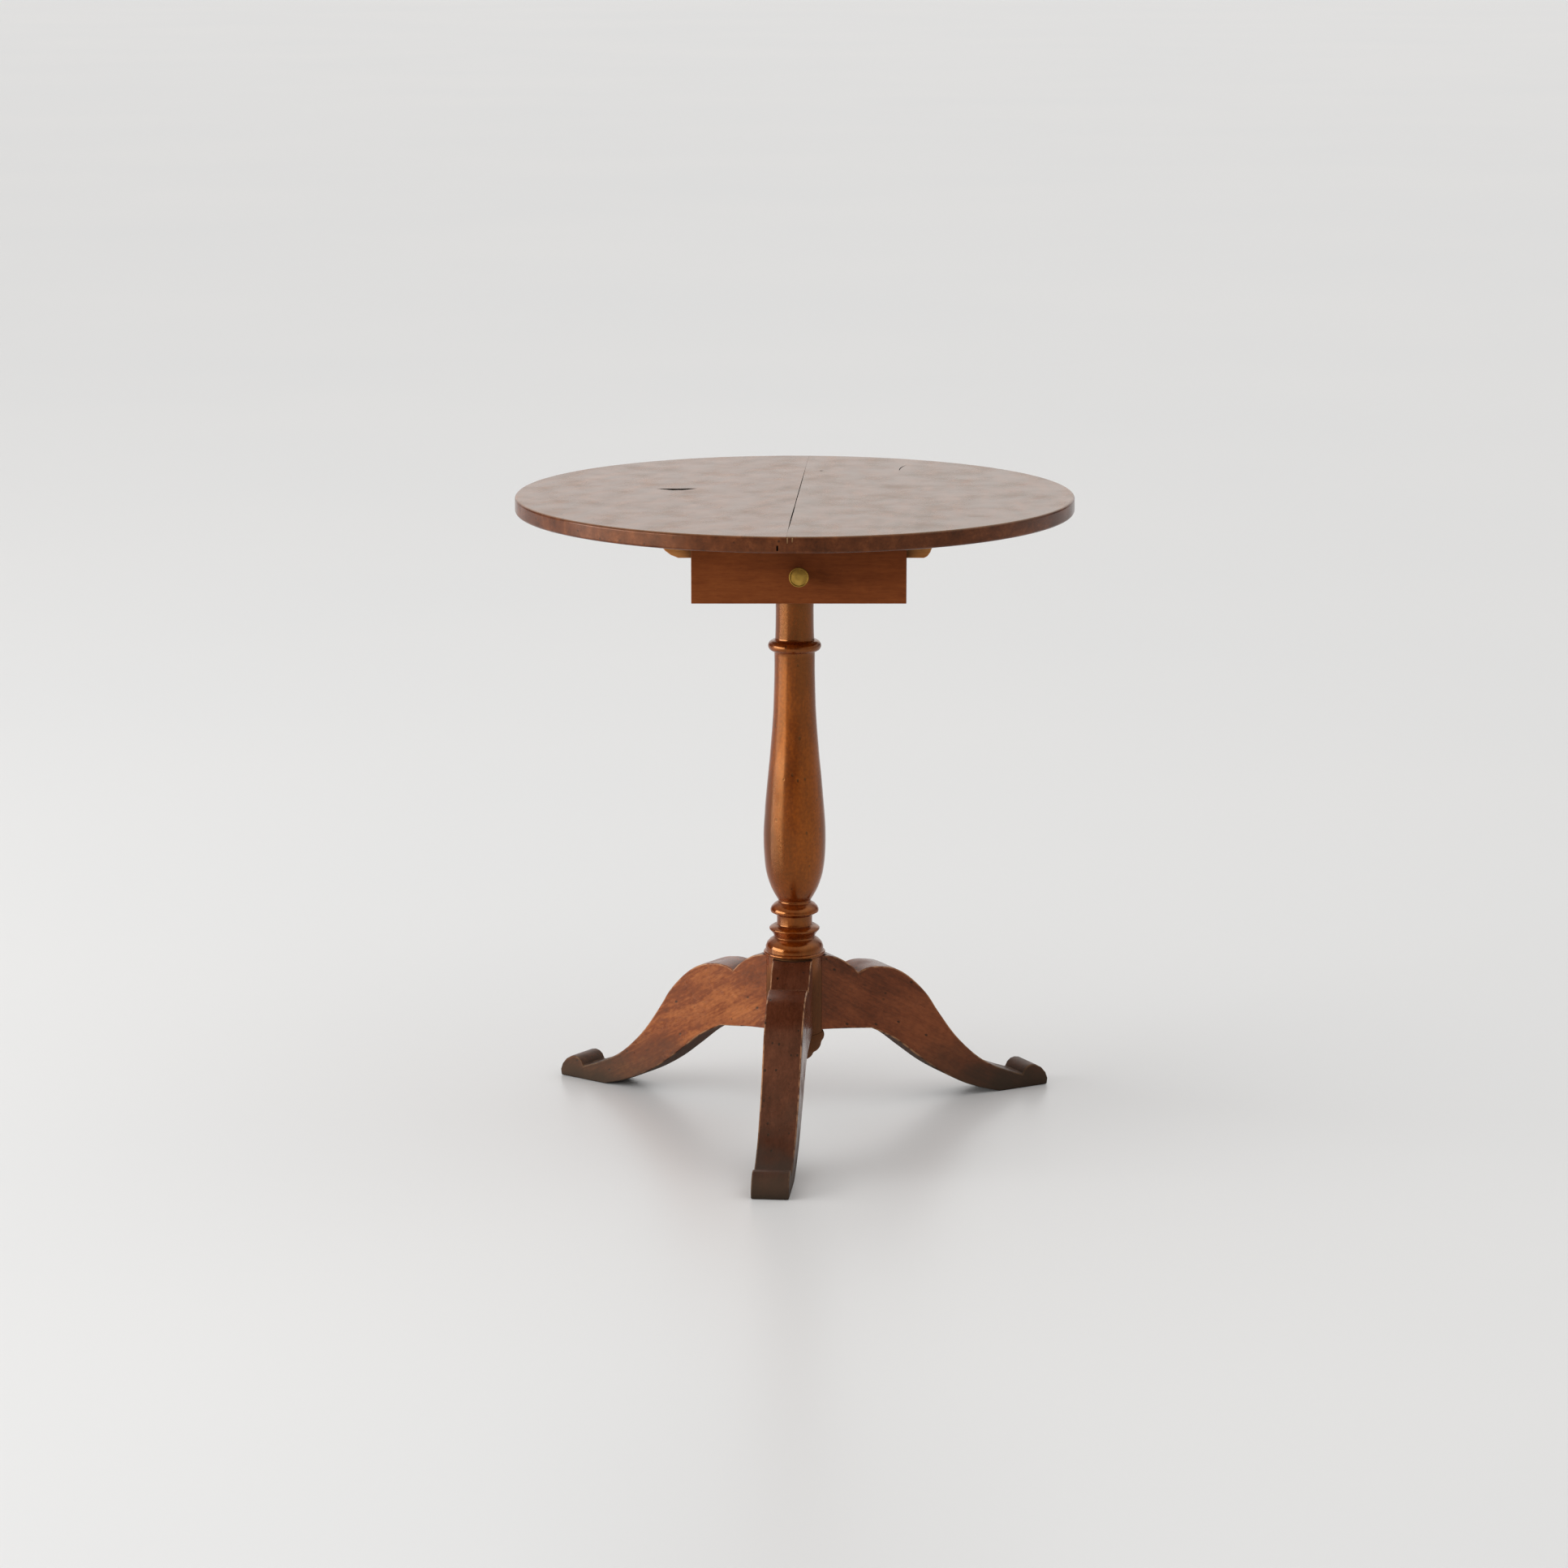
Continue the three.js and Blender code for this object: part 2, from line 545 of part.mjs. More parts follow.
function addDrawer() {
  const left = DRAWER_CENTRE_X - DRAWER_HALF_WIDTH;
  const right = DRAWER_CENTRE_X + DRAWER_HALF_WIDTH;
  const innerLeft = left + DRAWER_SIDE_THICK + GAP;
  const innerRight = right - DRAWER_SIDE_THICK - GAP;
  const stemBore = laidForward(upright(KNOB_STEM_RADIUS + GAP, -10, FRONT_THICK + 10));

  const front = board([DRAWER_CENTRE_X - FRONT_WIDTH / 2, FRONT_BACK_Y - FRONT_THICK, FRONT_BOTTOM_Z],
    [DRAWER_CENTRE_X + FRONT_WIDTH / 2, FRONT_BACK_Y, FRONT_TOP_Z]);
  addPart('drawer_front', cut(front, [stemBore]), 'drawer_wood');

  for (const [side, x] of [['left', left], ['right', right - DRAWER_SIDE_THICK]]) {
    addPart(`drawer_side_${side}`, board([x, DRAWER_SIDE_FRONT_Y, DRAWER_BOTTOM_Z],
      [x + DRAWER_SIDE_THICK, DRAWER_END_Y, DRAWER_BOTTOM_Z + DRAWER_SIDE_HEIGHT]), 'case_wood');
  }

  const panelBottom = DRAWER_BOTTOM_Z + DRAWER_BOTTOM_RAISE;
  const panelTop = panelBottom + DRAWER_BOTTOM_THICK;
  addPart('drawer_bottom', board([innerLeft, DRAWER_SIDE_FRONT_Y, panelBottom],
    [innerRight, DRAWER_END_Y, panelTop]), 'case_wood');
  addPart('drawer_back', board([innerLeft, DRAWER_END_Y - DRAWER_BACK_THICK, panelTop + GAP],
    [innerRight, DRAWER_END_Y, panelTop + DRAWER_BACK_HEIGHT]), 'case_wood');
}

function addKnob() {
  addPart('knob', laidForward(turned(knobPath(), KNOB_SEGMENTS)), 'brass');
  const nut = upright(KNOB_NUT_RADIUS, -GAP - KNOB_NUT_THICK, -GAP, 6);
  const bore = upright(KNOB_STEM_RADIUS + GAP, -10, 10);
  addPart('knob_nut', laidForward(cut(nut, [bore])), 'iron');
}

addColumn();
addFinial();
addLegs();
addCap();
addCase();
addTiltBlock();
addPins();
addTopBoards();
addBattens();
addLatch();
addDrawer();
addKnob();
Object.values(SCREWS).forEach(addScrews);

export default table;
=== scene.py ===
"""Looks of the tilt-top pedestal table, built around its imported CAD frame. Metres, +Z up.

The CAD nodes say where every piece is. Each one is remade here with finer turning, eased and worn
edges, slotted screws and the cracks of an old top, and is finished in procedural wood or metal.
"""
import json
import math

import bmesh
import bpy
from mathutils import Matrix, Vector, noise


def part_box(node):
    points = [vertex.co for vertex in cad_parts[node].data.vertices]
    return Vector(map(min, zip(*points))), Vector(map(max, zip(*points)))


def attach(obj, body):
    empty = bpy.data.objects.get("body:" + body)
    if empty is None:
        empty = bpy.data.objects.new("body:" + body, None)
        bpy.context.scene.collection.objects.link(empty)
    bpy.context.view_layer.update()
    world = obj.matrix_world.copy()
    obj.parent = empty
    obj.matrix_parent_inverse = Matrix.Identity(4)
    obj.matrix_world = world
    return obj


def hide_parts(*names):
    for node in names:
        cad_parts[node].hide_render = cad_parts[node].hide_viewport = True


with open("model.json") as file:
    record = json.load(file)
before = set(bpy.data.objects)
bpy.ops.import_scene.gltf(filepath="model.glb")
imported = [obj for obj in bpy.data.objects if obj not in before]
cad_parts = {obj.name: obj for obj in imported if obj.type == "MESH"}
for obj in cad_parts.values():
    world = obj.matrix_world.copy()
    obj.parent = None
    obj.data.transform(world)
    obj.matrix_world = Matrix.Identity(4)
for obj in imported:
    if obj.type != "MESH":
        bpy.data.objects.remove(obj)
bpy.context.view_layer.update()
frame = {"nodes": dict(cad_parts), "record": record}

RECORD = frame["record"]
BODY_OF = {
    node: body
    for body, members in RECORD["behaviour"]["bodies"].items()
    for node in members
}
LEGS = ("front", "left", "right")

WELD = 1e-5  # corners nearer than this are one corner
FLAT_ANGLE = math.radians(0.5)  # faces that meet at less than this are one flat face
SHARP_ANGLE = math.radians(34)  # edges that turn by more than this are sharp
EASE_STEPS = 3  # faces across an eased edge
OVERCUT = 0.001  # how far a cutter reaches out past the surface that it opens


# ---- Pieces and meshes ----

def add_piece(node, mesh, material):
    """Shows a finer mesh in place of a CAD node, on the same body."""
    piece = bpy.data.objects.new("fine_" + node, mesh)
    bpy.context.scene.collection.objects.link(piece)
    mesh.materials.clear()
    mesh.materials.append(material)
    mesh.polygons.foreach_set("use_smooth", [True] * len(mesh.polygons))
    mesh.set_sharp_from_angle(angle=SHARP_ANGLE)
    shading = piece.modifiers.new("even_shading", "WEIGHTED_NORMAL")
    shading.keep_sharp = True
    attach(piece, BODY_OF[node])
    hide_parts(node)


def mesh_of(bm):
    mesh = bpy.data.meshes.new("mesh")
    bm.to_mesh(mesh)
    bm.free()
    return mesh


def welded(node):
    """A CAD node's solid with its corners joined."""
    bm = bmesh.new()
    bm.from_mesh(frame["nodes"][node].data)
    bmesh.ops.remove_doubles(bm, verts=bm.verts, dist=WELD)
    return bm


def with_whole_faces(node):
    """A CAD node's solid in which each flat face is one polygon."""
    bm = welded(node)
    bmesh.ops.dissolve_limit(bm, angle_limit=FLAT_ANGLE, verts=bm.verts, edges=bm.edges)
    return bm


def ease_edges(bm, width, eligible):
    """Rounds the sharp edges that are eligible, and marks the rounding as worn."""
    worn = bm.faces.layers.float.new("worn")
    edges = [
        edge
        for edge in bm.edges
        if edge.is_manifold and edge.calc_face_angle(0) > SHARP_ANGLE and eligible(edge)
    ]
    made = bmesh.ops.bevel(
        bm,
        geom=edges,
        offset=width,
        segments=EASE_STEPS,
        profile=0.5,
        affect="EDGES",
        clamp_overlap=False,
    )
    for face in made["faces"]:
        face[worn] = 1.0


def carved(mesh, cutters):
    """The mesh with every cutter taken away from it."""
    body = bpy.data.objects.new("carving", mesh)
    tools = [bpy.data.objects.new("cutter", cutter) for cutter in cutters]
    for helper in (body, *tools):
        bpy.context.scene.collection.objects.link(helper)
    for tool in tools:
        boolean = body.modifiers.new("cut", "BOOLEAN")
        boolean.operation = "DIFFERENCE"
        boolean.solver = "EXACT"
        boolean.object = tool
    shown = body.evaluated_get(bpy.context.evaluated_depsgraph_get())
    result = bpy.data.meshes.new_from_object(shown)
    for helper in (body, *tools):
        bpy.data.objects.remove(helper)
    return result


def bridge(bm, loops):
    """Closes a row of rings into one solid, from the first ring to the last."""
    for lower, upper in zip(loops, loops[1:]):
        for i in range(len(lower)):
            j = (i + 1) % len(lower)
            bm.faces.new((lower[i], lower[j], upper[j], upper[i]))
    bm.faces.new(reversed(loops[0]))
    bm.faces.new(loops[-1])
    bmesh.ops.recalc_face_normals(bm, faces=bm.faces)


def prism(outline, low, high, foot_share=1.0, mark=None):
    """An upright solid with this outline, whose foot is narrowed to foot_share of it."""
    bm = bmesh.new()
    corners = [Vector(corner) for corner in outline]
    middle = sum(corners, Vector((0, 0))) / len(corners)
    loops = []
    for z, share in ((low, foot_share), (high, 1.0)):
        places = [middle + (corner - middle) * share for corner in corners]
        loops.append([bm.verts.new((place.x, place.y, z)) for place in places])
    bridge(bm, loops)
    if mark:
        layer = bm.faces.layers.float.new(mark)
        for face in bm.faces:
            face[layer] = 1.0
    return mesh_of(bm)


def box_outline(low, high, turn=0.0):
    """The four corners of a rectangle, turned about its middle."""
    middle = (Vector(low) + Vector(high)) / 2
    half = (Vector(high) - Vector(low)) / 2
    spin = Matrix.Rotation(turn, 2)
    signs = ((-1, -1), (1, -1), (1, 1), (-1, 1))
    return [middle + spin @ Vector((x * half.x, y * half.y)) for x, y in signs]


# ---- Turning ----

UPRIGHT = Matrix.Identity(3)
LAID_FORWARD = Matrix.Rotation(math.radians(90), 3, "X")  # the lathe's height runs towards -Y
ON_FRAME_AXIS = Matrix.Identity(4)  # to the row frame, for a piece turned about the frame's Z
RING_DIGITS = 5  # decimals to which the corners of one ring agree
RING_SHARE = 0.4  # grooves and slots leave a ring at least this share of its corners
ON_AXIS = 0.0001  # corners nearer the axis than this are a tip
EASED_SHARE = 0.4  # the most of a side that easing its corner may take
HOLLOWS = 40  # uneven places in a metre of turning


def lathe_frame(node, axis):
    """Takes lathe coordinates to the row frame; the lathe's axis runs through the node's middle."""
    low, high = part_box(node)
    middle = (low + high) / 2
    along = axis @ Vector((0, 0, 1))
    return Matrix.Translation(middle - along * middle.dot(along)) @ axis.to_4x4()


def rings_of(node, to_row, bore=0.0):
    """Radius and height of each ring of a turned CAD node, foot first, outside its bore."""
    bm = welded(node)
    bm.transform(to_row.inverted())
    key_of = {
        v: (round(v.co.xy.length, RING_DIGITS), round(v.co.z, RING_DIGITS)) for v in bm.verts
    }
    sizes = {}
    for key in key_of.values():
        sizes[key] = sizes.get(key, 0) + 1
    neighbours = {}
    for edge in bm.edges:
        ends = [key_of[v] for v in edge.verts]
        neighbours.setdefault(ends[0], set()).add(ends[1])
        neighbours.setdefault(ends[1], set()).add(ends[0])
    bm.free()
    fewest = RING_SHARE * max(sizes.values())
    left = {key for key, size in sizes.items() if size >= fewest and key[0] > bore}
    rings = [min(left, key=lambda key: (key[1], key[0]))]
    while True:
        left.discard(rings[-1])
        onward = neighbours[rings[-1]] & left
        if not onward:
            return rings
        rings.append(min(onward, key=lambda key: math.dist(key, rings[-1])))


def with_eased_corners(rings, width):
    """The same profile with each sharp corner cut to a small curve."""
    points = [Vector(ring) for ring in rings]
    eased = [points[0]]
    for before, corner, after in zip(points, points[1:], points[2:]):
        back, ahead = before - corner, after - corner
        if math.pi - back.angle(ahead) < SHARP_ANGLE:
            eased.append(corner)
            continue
        reach = min(width, EASED_SHARE * back.length, EASED_SHARE * ahead.length)
        start = corner + back.normalized() * reach
        end = corner + ahead.normalized() * reach
        eased.extend((start, (start + end) / 4 + corner / 2, end))
    eased.append(points[-1])
    return eased


def turned(rings, segments, to_row, unevenness=0.0):
    """A solid of revolution through the rings, hollowed here and there by the given depth."""
    bm = bmesh.new()
    loops = []
    for radius, height in rings:
        loop = []
        for i in range(segments):
            angle = 2 * math.pi * i / segments
            outward = Vector((math.cos(angle), math.sin(angle), 0))
            place = outward * radius + Vector((0, 0, height))
            hollow = max(0.0, noise.noise(place * HOLLOWS)) * unevenness
            loop.append(bm.verts.new(place - outward * hollow))
        loops.append(loop)
    bridge(bm, loops)
    bm.transform(to_row)
    return mesh_of(bm)


# ---- Shader nodes ----

MIX_SHARE, MIX_UNDER, MIX_OVER, MIX_RESULT = 0, 6, 7, 2  # the colour sockets of a Mix node
AO_SAMPLES = 8


class Shader:
    """The nodes of a material or world; each call adds a node and gives the socket it feeds."""

    def __init__(self, owner):
        owner.use_nodes = True
        self.tree = owner.node_tree
        self.tree.nodes.clear()

    def node(self, kind, output=0, inputs=None, **settings):
        made = self.tree.nodes.new("ShaderNode" + kind)
        for key, value in settings.items():
            setattr(made, key, value)
        for key, value in (inputs or {}).items():
            if isinstance(value, bpy.types.NodeSocket):
                self.tree.links.new(value, made.inputs[key])
            else:
                made.inputs[key].default_value = value
        return made.outputs[output]

    def math(self, operation, a, b):
        return self.node("Math", inputs={0: a, 1: b}, operation=operation)

    def vector_math(self, operation, a, b, output="Vector"):
        return self.node("VectorMath", output, inputs={0: a, 1: b}, operation=operation)

    def between(self, value, low, high, to_low=0.0, to_high=1.0):
        """Takes the value's run from low to high to the new run, smoothly, and holds it there."""
        inputs = {
            "Value": value,
            "From Min": low,
            "From Max": high,
            "To Min": to_low,
            "To Max": to_high,
        }
        return self.node("MapRange", inputs=inputs, interpolation_type="SMOOTHSTEP")

    def stretched(self, vector, along):
        """Coordinates in which every pattern is drawn out along the grain."""
        return self.vector_math("MULTIPLY", vector, (along, 1, 1))

    def noise(self, vector, scale, detail=2.0, output="Fac"):
        inputs = {"Vector": vector, "Scale": scale, "Detail": detail}
        return self.node("TexNoise", output, inputs=inputs)

    def height_of(self, vector):
        return self.node("SeparateXYZ", "Z", inputs={"Vector": vector})

    def openness(self, reach):
        """1 in the open, and less where other surfaces are within reach."""
        return self.node("AmbientOcclusion", "AO", inputs={"Distance": reach}, samples=AO_SAMPLES)

    def mix(self, share, under, over, blend="MIX"):
        """The colour under, with this share of the colour over on it."""
        inputs = {MIX_SHARE: share, MIX_UNDER: under, MIX_OVER: over}
        return self.node("Mix", MIX_RESULT, inputs=inputs, data_type="RGBA", blend_type=blend)

    def attribute(self, name):
        return self.node("Attribute", "Fac", attribute_name=name)

    def ramp(self, share, *stops):
        """A colour between the stops, each a place and a colour."""
        made = self.node("ValToRGB", inputs={"Fac": share})
        elements = made.node.color_ramp.elements
        for _ in stops[2:]:
            elements.new(0.5)
        for element, (place, shade) in zip(elements, stops):
            element.position = place
            element.color = shade
        return made

    def bump(self, height, distance):
        return self.node("Bump", inputs={"Height": height, "Distance": distance})

    def finish(self, kind, inputs, output="OutputMaterial"):
        """Sends a shader of this kind, with these inputs, to the output."""
        end = self.tree.nodes.new("ShaderNode" + output)
        self.tree.links.new(self.node(kind, inputs=inputs), end.inputs["Surface"])


def colour(red, green, blue):
    return (red, green, blue, 1.0)


def shades(deep, middle, light):
    """The palette of a wood, from its darkest streaks to its palest."""
    return colour(*deep), colour(*middle), colour(*light)


def new_material(name, slot):
    material = bpy.data.materials.new(name)
    material["slot"] = slot
    return material


# ---- Old wood ----

WORN_EDGE = colour(0.4, 0.2, 0.1)
FRESH_WOOD = colour(0.55, 0.37, 0.2)
# Added to what faces up: bleaching, and painted light on the upper faces.
FADED_AND_LIT = colour(0.245, 0.165, 0.078)
# Near-black painted shade inside cracks, open joints, slits and worm holes.
HOLLOW_SHADE = colour(0.006, 0.004, 0.003)
# Grime, and painted shade in corners, crevices and on undersides.
GRIME_AND_SHADE = colour(0.02, 0.01, 0.006)
# Dirt and painted shade low down: at the feet, and on the column between the legs.
LOW_DIRT_AND_SHADE = colour(0.026, 0.019, 0.014)

# How an old board looks; each finish below names what is different about it.
PLAIN = {
    "contrast": 1.0,
    "drift": 16.0,  # how often the tone drifts in a metre
    "broad": 0.45,  # shares of the tone: slow drift, streaks, flecks and fibres
    "streaks": 0.25,
    "flecks": 0.15,
    "fibres": 0.15,
    "fleck_shape": 0.35,  # 1 is round, and less is drawn out along the grain
    "pores": 0.4,
    "roughness": 0.5,  # of the varnish where it is best kept, and where it is most worn
    "roughest": 0.9,
    "sheen": 0.35,
    "varnish": colour(1.0, 0.68, 0.45),  # the tint of its gloss
    "ior": 1.5,
    "relief": 0.0003,
    "soil": 0.8,  # how thick grime and painted shade lie in the crevices and corners
    "wear": 0.5,  # how far the varnish is gone from the edges
    "holes": 0.0,  # how dark the worm holes are painted, as shade
    "faded": 0.0,  # how far light and wear have bleached what faces up, and how much light is painted on it
    "raw_and_shaded_below": 0.0,  # how dull the unvarnished undersides are, and how dark with painted shade
    "dirt": (-1.0, -0.9, 0.0),  # heights where dirt and painted shade thin out and end, and their thickness
    "dirt_dulls": 0.65,  # how rough the wood is where that dirt and painted shade cover it
}

# The figure's patterns: how round their marks are along the grain, and how many lie in a metre.
BROAD_SHAPE = 0.45
STREAK_SHAPE, STREAKS = 0.08, 130.0
FLECKS = 330.0
FIBRE_SHAPE, FIBRES = 0.04, 620.0
FIGURE_DETAIL = 3.0
TONE_SPREAD = 0.16  # the tone's usual reach to either side of its middle
BENDS, BEND_REACH = 9.0, 0.03  # how often and how far the grain bends aside

PORE_SHAPE, PORES = 0.06, 1500.0
PORE_EDGE = (0.6, 0.72)
HOLE_SHAPE, HOLES = 0.6, 90.0
HOLE_EDGE = (0.09, 0.15)  # from a hole's middle, in shares of the space between holes
STRUCK_PATCHES = 13.0
STRUCK = (0.44, 0.5)  # where the patches of holes begin, and where they are full
RUBBED_PATCHES = 90.0
RUBBED = (0.35, 0.6)  # where an edge's varnish thins, and where it is gone
FACING_UP = (0.5, 0.95)  # of a normal's height, for what light bleaches and is painted lighter
FACING_DOWN = (-0.5, -0.1)  # of a normal's height, for what was never varnished and is painted in shade
# Where grime and painted shade gather: how near the next surface is, and how open the place is
# where they are thickest and where they end. The first is the crevices and the second is the wider
# corners.
TRAPS = ((0.01, 0.4, 0.8), (0.035, 0.35, 0.8))
GRIME_AND_SHADE_DULLS = 0.8
RAGGED_EDGE = 40.0  # how often the edge of the low dirt and painted shade wavers in a metre
VARNISH_PATCHES, VARNISH_DETAIL = 25.0, 4.0
VARNISH_WEAR = (0.3, 1.2)  # from the best kept patches to the most worn
WAVES = 30.0  # slow waves in a metre of the surface
FIBRE_HEIGHT, PORE_DEPTH = 0.25, 0.5  # as shares of the slow waves' height


def grain_turn(direction):
    """The rotation that brings the grain's direction to X."""
    return Vector(direction).rotation_difference(Vector((1, 0, 0))).to_euler()


def figure(s, placed, palette, look):
    """Dark and pale wood, and the fibres that also lift the surface."""
    bend = s.noise(placed, BENDS, output="Color")
    bend = s.vector_math("MULTIPLY", bend, (BEND_REACH, BEND_REACH, BEND_REACH))
    bent = s.vector_math("ADD", placed, bend)
    fibres = s.noise(s.stretched(placed, FIBRE_SHAPE), FIBRES)
    patterns = {
        "broad": s.noise(s.stretched(bent, BROAD_SHAPE), look["drift"], FIGURE_DETAIL),
        "streaks": s.noise(s.stretched(bent, STREAK_SHAPE), STREAKS, FIGURE_DETAIL),
        "flecks": s.noise(s.stretched(placed, look["fleck_shape"]), FLECKS, FIGURE_DETAIL),
        "fibres": fibres,
    }
    tone = 0.0
    for name, pattern in patterns.items():
        tone = s.math("ADD", s.math("MULTIPLY", pattern, look[name]), tone)
    spread = TONE_SPREAD / look["contrast"]
    deep, middle, light = palette
    return s.ramp(tone, (0.5 - spread, deep), (0.5, middle), (0.5 + spread, light)), fibres


def pored(s, placed, base, palette, look):
    """Dark pores, and where they are."""
    pores = s.noise(s.stretched(placed, PORE_SHAPE), PORES, 1.0)
    pores = s.between(pores, *PORE_EDGE, 0.0, look["pores"])
    return s.mix(pores, base, palette[0], "MULTIPLY"), pores


def weathered_lit_and_shaded(s, placed, base, look):
    """Bleached and painted lighter above, raw and painted in shade below, and rubbed at the edges;
    and where it is raw.
    """
    upward = s.height_of(s.node("TexCoord", "Normal"))
    # Paler where it faces up: bleaching and painted light.
    base = s.mix(s.between(upward, *FACING_UP, 0.0, look["faded"]), base, FADED_AND_LIT, "ADD")
    # Darker where it faces down: raw wood and painted shade.
    raw_and_shaded = s.between(upward, *FACING_DOWN, look["raw_and_shaded_below"], 0.0)
    base = s.mix(raw_and_shaded, base, GRIME_AND_SHADE)
    rubbed = s.between(s.noise(placed, RUBBED_PATCHES), *RUBBED, 0.0, look["wear"])
    return s.mix(s.math("MULTIPLY", s.attribute("worn"), rubbed), base, WORN_EDGE), raw_and_shaded


def wormed(s, placed, base, look):
    """Worm holes in patches, painted near-black as shade, and their depth."""
    inputs = {"Vector": s.stretched(placed, HOLE_SHAPE), "Scale": HOLES}
    holes = s.between(s.node("TexVoronoi", "Distance", inputs=inputs), *HOLE_EDGE, 1.0, 0.0)
    struck = s.between(s.noise(placed, STRUCK_PATCHES), *STRUCK, 0.0, look["holes"])
    holes = s.math("MULTIPLY", holes, struck)
    return s.mix(holes, base, HOLLOW_SHADE), holes


def soiled(s, base, look):
    """Grime and painted shade in the crevices and the corners, and how much of them there is."""
    grime_and_shade = 0.0
    for reach, closed, clear in TRAPS:
        share = s.between(s.openness(reach), closed, clear, look["soil"], 0.0)
        grime_and_shade = s.math("MAXIMUM", share, grime_and_shade)
    return s.mix(grime_and_shade, base, GRIME_AND_SHADE), grime_and_shade


def dirt_share(s, coords, look):
    """How much dirt and painted shade lie on the wood low down; they end in a ragged edge."""
    thick_to, end, thickness = look["dirt"]
    strayed = s.math("MULTIPLY", s.noise(coords, RAGGED_EDGE), end - thick_to)
    ragged = s.math("ADD", s.height_of(coords), strayed)
    return s.between(ragged, thick_to, 2 * end - thick_to, thickness, 0.0)


def worn_varnish(s, placed, grime_and_shade, bare, look):
    """Roughness of a varnish worn in patches, duller under grime and painted shade, gone where
    bare.
    """
    patches = s.noise(placed, VARNISH_PATCHES, VARNISH_DETAIL)
    worn = s.math("ADD", patches, s.math("MULTIPLY", grime_and_shade, GRIME_AND_SHADE_DULLS))
    rough = s.between(worn, *VARNISH_WEAR, look["roughness"], look["roughest"])
    for share in bare:
        rough = s.math("MAXIMUM", rough, share)
    return rough


def surface_relief(s, placed, fibres, pores, holes):
    """Height of the surface: slow waves, raised fibres, and sunken pores and holes."""
    raised = s.math("MULTIPLY", fibres, FIBRE_HEIGHT)
    fine = s.math("SUBTRACT", raised, s.math("MULTIPLY", pores, PORE_DEPTH))
    waves = s.noise(placed, WAVES, 1.0)
    return s.math("SUBTRACT", s.math("ADD", fine, waves), holes)


def wood(name, slot, grain, palette, seed, **changes):
    """Old finished wood: figure, pores, worn edges, worm holes, grime, a worn varnish, and painted
    shade and light.
    """
    look = {**PLAIN, **changes}
    material = new_material(name, slot)
    s = Shader(material)
    coords = s.node("TexCoord", "Object")
    apart = (seed, seed / 2, seed / 3)
    inputs = {"Vector": coords, "Rotation": grain_turn(grain), "Location": apart}
    placed = s.node("Mapping", inputs=inputs)

    base, fibres = figure(s, placed, palette, look)
    base, pores = pored(s, placed, base, palette, look)
    base, raw_and_shaded = weathered_lit_and_shaded(s, placed, base, look)
    base, holes = wormed(s, placed, base, look)
    base, grime_and_shade = soiled(s, base, look)
    dirt = dirt_share(s, coords, look)
    # Dirt and painted shade low down.
    base = s.mix(dirt, base, LOW_DIRT_AND_SHADE)
    # Near-black painted shade inside cracks, open joints and slits.
    base = s.mix(s.attribute("hollow"), base, HOLLOW_SHADE)
    base = s.mix(s.attribute("fresh"), base, FRESH_WOOD)

    bare = (raw_and_shaded, s.math("MULTIPLY", dirt, look["dirt_dulls"]), s.attribute("hollow"))
    s.finish("BsdfPrincipled", {
        "Base Color": base,
        "Roughness": worn_varnish(s, placed, grime_and_shade, bare, look),
        "Specular IOR Level": look["sheen"],
        "Specular Tint": look["varnish"],
        "IOR": look["ior"],
        "Normal": s.bump(surface_relief(s, placed, fibres, pores, holes), look["relief"]),
    })
    return material


# ---- Metal ----

TARNISH_PATCHES = 70.0
TARNISHED = (0.35, 0.65)  # where the patches begin, and where they are full
METAL_DETAIL = 3.0
METAL_CREVICE = 0.003
METAL_TRAP = (0.4, 0.85)  # how open a crevice is where its grime is thickest and where it ends
METAL_GRIME = 0.8
SCRATCH_SHAPE, SCRATCHES = 0.1, 2600.0
SCRATCH_DEPTH = 0.00002
METAL_WEAR = (0.3, 1.4)  # from the glossiest metal to the roughest
METAL_ROUGHEST = 0.75


def metal(name, slot, bright, dull, gloss, tarnish):
    """Handled metal: bright where rubbed, dull where tarnished, finely scratched.

    gloss is its roughness where it is brightest, and tarnish is how dull the patches are.
    """
    material = new_material(name, slot)
    s = Shader(material)
    coords = s.node("TexCoord", "Object")
    patches = s.noise(coords, TARNISH_PATCHES, METAL_DETAIL)
    patches = s.between(patches, *TARNISHED, 0.0, tarnish)
    grime_and_shade = s.between(s.openness(METAL_CREVICE), *METAL_TRAP, METAL_GRIME, 0.0)
    base = s.mix(patches, bright, dull)
    base = s.mix(grime_and_shade, base, s.mix(0.5, dull, colour(0, 0, 0)))
    scratches = s.noise(s.stretched(coords, SCRATCH_SHAPE), SCRATCHES, METAL_DETAIL)
    rough = s.between(s.math("ADD", patches, scratches), *METAL_WEAR, gloss, METAL_ROUGHEST)
    s.finish("BsdfPrincipled", {
        "Base Color": base,
        "Roughness": rough,
        "Metallic": 1.0,
        "Normal": s.bump(scratches, SCRATCH_DEPTH),
    })
    return material


# ---- Finishes ----

